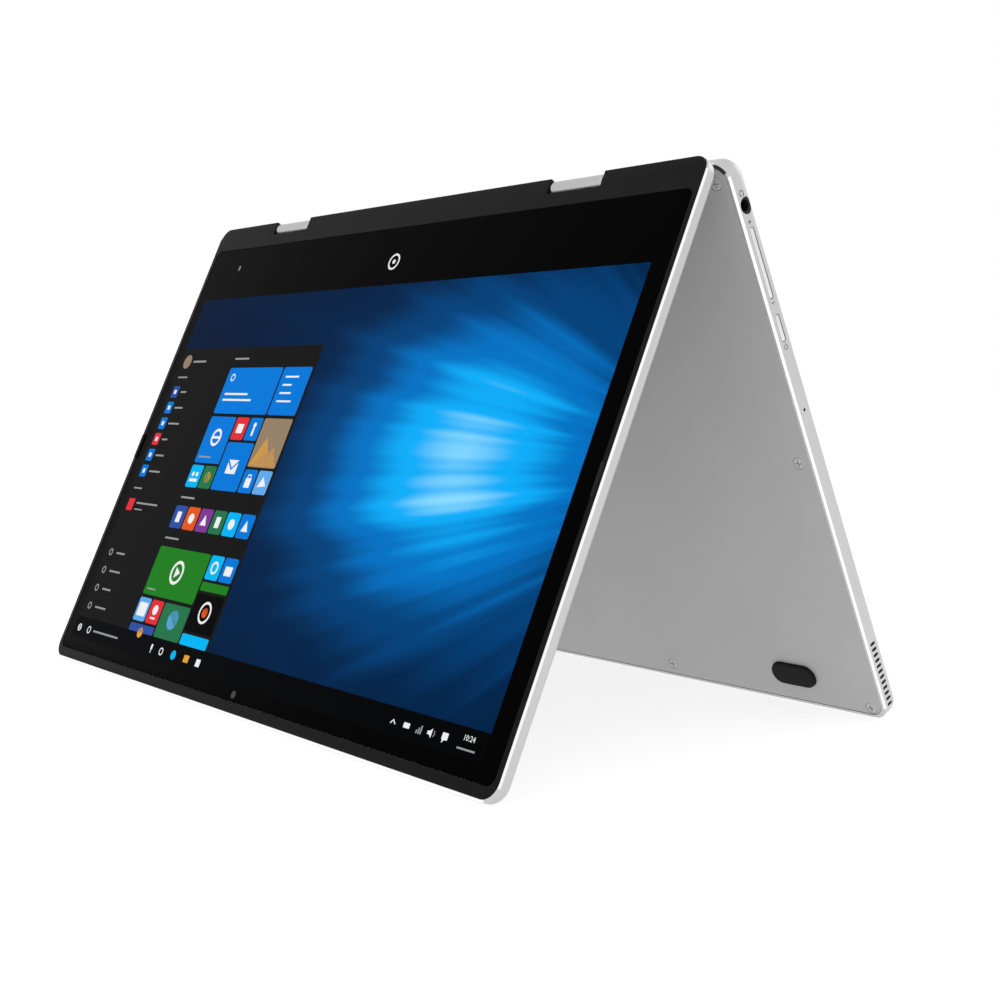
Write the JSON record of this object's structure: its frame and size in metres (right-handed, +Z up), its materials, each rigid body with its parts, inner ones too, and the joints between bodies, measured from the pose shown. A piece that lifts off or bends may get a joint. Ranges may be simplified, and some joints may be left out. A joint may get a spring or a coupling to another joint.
{
  "type": "convertible laptop computer",
  "caption": "Convertible laptop standing as a tent: display half and keyboard half joined at the top by geared two-shaft hinges, with keys, touchpad, side buttons, ports and feet.",
  "frame": {"origin": "on the surface the tent stands on, under the middle of its overall box", "axes": "+X along the hinge towards the user's left side (the audio jack side), +Y towards the foot of the keyboard half, -Y towards the foot of the display half, +Z up; the tent stands on the front edges of its two halves"},
  "size_m": [0.2736, 0.168, 0.1705],
  "materials": {
    "shell_aluminium": "fine bead-blasted anodised",
    "hinge_satin": "satin",
    "cover_paint": "fine matt silver-grey paint",
    "button_metal": "bead-blasted anodised",
    "foot_rubber": "matt",
    "bezel_plastic": "matt",
    "display_glass": "polished black glass over a lit display",
    "touchpad_glass": "satin",
    "key_plastic": "matt",
    "circuit_board": "solder mask",
    "black_plastic": "matt",
    "copper": "plain",
    "steel": "plain",
    "gear_brass": "cut"
  },
  "bodies": {
    "base": {"top_case": "shell_aluminium", "bottom_cover": "cover_paint", "foot_front_left": "foot_rubber", "foot_front_right": "foot_rubber", "foot_rear_left": "foot_rubber", "foot_rear_right": "foot_rubber", "keyboard_plate": "steel", "button_board": "circuit_board", "mainboard": "circuit_board", "battery": "black_plastic", "heat_spreader": "copper", "ssd_module": "circuit_board", "wifi_card": "circuit_board", "speaker_left": "black_plastic", "speaker_right": "black_plastic", "audio_jack": "black_plastic", "usb_a_port": "steel", "usb_c_port": "steel", "micro_hdmi_port": "steel", "card_reader": "steel", "base_hinge_arm_left": "steel", "base_hinge_arm_right": "steel", "base_gear_left": "gear_brass", "base_gear_right": "gear_brass", "bottom_screw_1": "steel", "bottom_screw_2": "steel", "bottom_screw_3": "steel", "bottom_screw_4": "steel", "bottom_screw_5": "steel", "bottom_screw_6": "steel", "bottom_screw_7": "steel", "bottom_screw_8": "steel"},
    "hinge_link": {"hinge_housing_left": "hinge_satin", "hinge_housing_right": "hinge_satin"},
    "lid": {"lid_back_cover": "shell_aluminium", "bezel_frame": "bezel_plastic", "display_glass": "display_glass", "lid_bumper_left": "foot_rubber", "lid_bumper_right": "foot_rubber", "lcd_panel": "black_plastic", "webcam_module": "circuit_board", "lid_hinge_arm_left": "steel", "lid_hinge_arm_right": "steel", "lid_gear_left": "gear_brass", "lid_gear_right": "gear_brass"},
    "idler_1_left": {"idler_gear_1_left": "gear_brass"},
    "idler_2_left": {"idler_gear_2_left": "gear_brass"},
    "idler_1_right": {"idler_gear_1_right": "gear_brass"},
    "idler_2_right": {"idler_gear_2_right": "gear_brass"},
    "power_button": {"power_button": "button_metal"},
    "volume_rocker": {"volume_rocker": "button_metal"},
    "touchpad": {"touchpad": "touchpad_glass"},
    "key_row_function": {"key_row_function": "key_plastic"},
    "key_row_numbers": {"key_row_numbers": "key_plastic"},
    "key_row_upper": {"key_row_upper": "key_plastic"},
    "key_row_home": {"key_row_home": "key_plastic"},
    "key_row_lower": {"key_row_lower": "key_plastic"},
    "key_row_bottom_left": {"key_row_bottom_left": "key_plastic"},
    "key_row_bottom_right": {"key_row_bottom_right": "key_plastic"},
    "space_bar": {"space_bar": "key_plastic"}
  },
  "joints": [
    {"name": "base_to_link", "type": "hinge", "parent": "base", "child": "hinge_link", "pos_m": [0, 0.00179, 0.16713], "axis": [1, 0, 0], "range_deg": [-155, 25]},
    {"name": "link_to_lid", "type": "hinge", "parent": "hinge_link", "child": "lid", "pos_m": [0, -0.00601, 0.16706], "axis": [1, 0, 0], "range_deg": [-155, 25]},
    {"name": "idler_1_left_spin", "type": "hinge", "parent": "hinge_link", "child": "idler_1_left", "pos_m": [0, -0.00081, 0.16711], "axis": [1, 0, 0], "range_deg": [-155, 25]},
    {"name": "idler_2_left_spin", "type": "hinge", "parent": "hinge_link", "child": "idler_2_left", "pos_m": [0, -0.00341, 0.16708], "axis": [1, 0, 0], "range_deg": [-25, 155]},
    {"name": "idler_1_right_spin", "type": "hinge", "parent": "hinge_link", "child": "idler_1_right", "pos_m": [0, -0.00081, 0.16711], "axis": [1, 0, 0], "range_deg": [-155, 25]},
    {"name": "idler_2_right_spin", "type": "hinge", "parent": "hinge_link", "child": "idler_2_right", "pos_m": [0, -0.00341, 0.16708], "axis": [1, 0, 0], "range_deg": [-25, 155]},
    {"name": "power_press", "type": "slide", "parent": "base", "child": "power_button", "axis": [-1, 0, 0], "range_m": [0, 0.00035], "stiffness_N_per_m": 600, "springref_m": -0.001},
    {"name": "volume_rock", "type": "hinge", "parent": "base", "child": "volume_rocker", "pos_m": [0.1347, 0.01381, 0.14151], "axis": [0, 0.9023, 0.4311], "range_deg": [-1.5, 1.5], "stiffness_Nm_per_rad": 0.1},
    {"name": "touchpad_click", "type": "hinge", "parent": "base", "child": "touchpad", "pos_m": [0, 0.05636, 0.06021], "axis": [-1, 0, 0], "range_deg": [0, 0.6], "stiffness_Nm_per_rad": 2, "springref_deg": -1.15},
    {"name": "key_row_function_press", "type": "slide", "parent": "base", "child": "key_row_function", "axis": [0, -0.9023, -0.4311], "range_m": [0, 0.0011], "stiffness_N_per_m": 500, "springref_m": -0.002},
    {"name": "key_row_numbers_press", "type": "slide", "parent": "base", "child": "key_row_numbers", "axis": [0, -0.9023, -0.4311], "range_m": [0, 0.0011], "stiffness_N_per_m": 500, "springref_m": -0.002},
    {"name": "key_row_upper_press", "type": "slide", "parent": "base", "child": "key_row_upper", "axis": [0, -0.9023, -0.4311], "range_m": [0, 0.0011], "stiffness_N_per_m": 500, "springref_m": -0.002},
    {"name": "key_row_home_press", "type": "slide", "parent": "base", "child": "key_row_home", "axis": [0, -0.9023, -0.4311], "range_m": [0, 0.0011], "stiffness_N_per_m": 500, "springref_m": -0.002},
    {"name": "key_row_lower_press", "type": "slide", "parent": "base", "child": "key_row_lower", "axis": [0, -0.9023, -0.4311], "range_m": [0, 0.0011], "stiffness_N_per_m": 500, "springref_m": -0.002},
    {"name": "key_row_bottom_left_press", "type": "slide", "parent": "base", "child": "key_row_bottom_left", "axis": [0, -0.9023, -0.4311], "range_m": [0, 0.0011], "stiffness_N_per_m": 500, "springref_m": -0.002},
    {"name": "key_row_bottom_right_press", "type": "slide", "parent": "base", "child": "key_row_bottom_right", "axis": [0, -0.9023, -0.4311], "range_m": [0, 0.0011], "stiffness_N_per_m": 500, "springref_m": -0.002},
    {"name": "space_bar_press", "type": "slide", "parent": "base", "child": "space_bar", "axis": [0, -0.9023, -0.4311], "range_m": [0, 0.0011], "stiffness_N_per_m": 500, "springref_m": -0.002}
  ],
  "couplings": [
    {"joint": "link_to_lid", "follows": "base_to_link", "ratio": 1},
    {"joint": "idler_1_left_spin", "follows": "base_to_link", "ratio": 1},
    {"joint": "idler_2_left_spin", "follows": "base_to_link", "ratio": -1},
    {"joint": "idler_1_right_spin", "follows": "base_to_link", "ratio": 1},
    {"joint": "idler_2_right_spin", "follows": "base_to_link", "ratio": -1}
  ]
}
